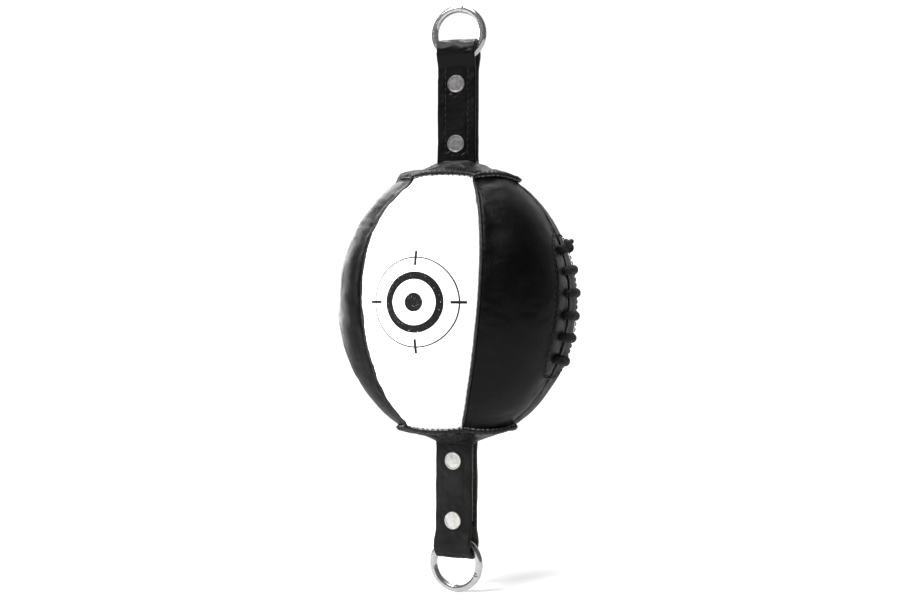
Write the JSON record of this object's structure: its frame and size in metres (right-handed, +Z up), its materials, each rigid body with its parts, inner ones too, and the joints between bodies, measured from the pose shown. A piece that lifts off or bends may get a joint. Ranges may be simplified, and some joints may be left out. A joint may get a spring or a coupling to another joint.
{
  "type": "double end bag",
  "caption": "Oval leather striking ball over an inflatable bladder, laced on one side, with a flexible strap and a swinging ring at each end for floor and ceiling cords.",
  "frame": {"origin": "middle of the ball, on the line through the two rings", "axes": "+Z up towards the top ring, -Y out of the white front panel, +X out of the laced seam"},
  "size_m": [0.179, 0.178, 0.4366],
  "materials": {
    "white_leather": "smooth coated hide, soft sheen",
    "black_leather": "smooth hide with fine grain, semi-gloss",
    "welt_leather": "thin rolled leather piping, semi-gloss",
    "raw_leather": "undyed cut leather, matt",
    "lining_fabric": "plain woven cotton duck, matt",
    "webbing": "woven nylon webbing",
    "lace_cord": "thick braided cord, matt",
    "bladder_rubber": "smooth butyl rubber, satin",
    "rivet_nickel": "nickel plate, brushed domed heads",
    "ring_steel": "bright plated welded wire"
  },
  "bodies": {
    "bag": {"panel_front": "white_leather", "panel_front_right": "black_leather", "panel_rear_right": "black_leather", "panel_rear": "black_leather", "panel_rear_left": "black_leather", "panel_front_left": "black_leather", "facing_front": "black_leather", "facing_rear": "black_leather", "tongue": "black_leather", "welt_front_right": "welt_leather", "welt_rear_right": "welt_leather", "welt_rear_left": "welt_leather", "welt_left": "welt_leather", "welt_front_left": "welt_leather", "welt_laced_upper": "welt_leather", "welt_laced_lower": "welt_leather", "lining": "lining_fabric", "lace": "lace_cord", "bladder": "bladder_rubber", "bladder_valve": "bladder_rubber", "top_cap": "black_leather", "top_strap_tail": "black_leather", "top_backing_disc": "raw_leather", "bottom_cap": "black_leather", "bottom_strap_tail": "black_leather", "bottom_backing_disc": "raw_leather"},
    "top_strap": {"top_strap": "black_leather", "top_strap_webbing": "webbing", "top_strap_filler": "raw_leather", "top_inner_rivet": "rivet_nickel", "top_inner_rivet_cap": "rivet_nickel", "top_outer_rivet": "rivet_nickel", "top_outer_rivet_cap": "rivet_nickel"},
    "top_ring": {"top_ring": "ring_steel"},
    "bottom_strap": {"bottom_strap": "black_leather", "bottom_strap_webbing": "webbing", "bottom_strap_filler": "raw_leather", "bottom_inner_rivet": "rivet_nickel", "bottom_inner_rivet_cap": "rivet_nickel", "bottom_outer_rivet": "rivet_nickel", "bottom_outer_rivet_cap": "rivet_nickel"},
    "bottom_ring": {"bottom_ring": "ring_steel"}
  },
  "joints": [
    {"name": "top_strap_flex", "type": "hinge", "parent": "bag", "child": "top_strap", "pos_m": [0, 0, 0.106], "axis": [0.9969, 0.0785, 0], "range_deg": [-45, 45], "stiffness_Nm_per_rad": 0.5},
    {"name": "top_ring_swing", "type": "hinge", "parent": "top_strap", "child": "top_ring", "pos_m": [0, 0, 0.1854], "axis": [0.9969, 0.0785, 0], "range_deg": [-155, 155]},
    {"name": "bottom_strap_flex", "type": "hinge", "parent": "bag", "child": "bottom_strap", "pos_m": [0, 0, -0.106], "axis": [0.9969, -0.0785, 0], "range_deg": [-45, 45], "stiffness_Nm_per_rad": 0.5},
    {"name": "bottom_ring_swing", "type": "hinge", "parent": "bottom_strap", "child": "bottom_ring", "pos_m": [0, 0, -0.1798], "axis": [0.9969, -0.0785, 0], "range_deg": [-155, 155]}
  ]
}
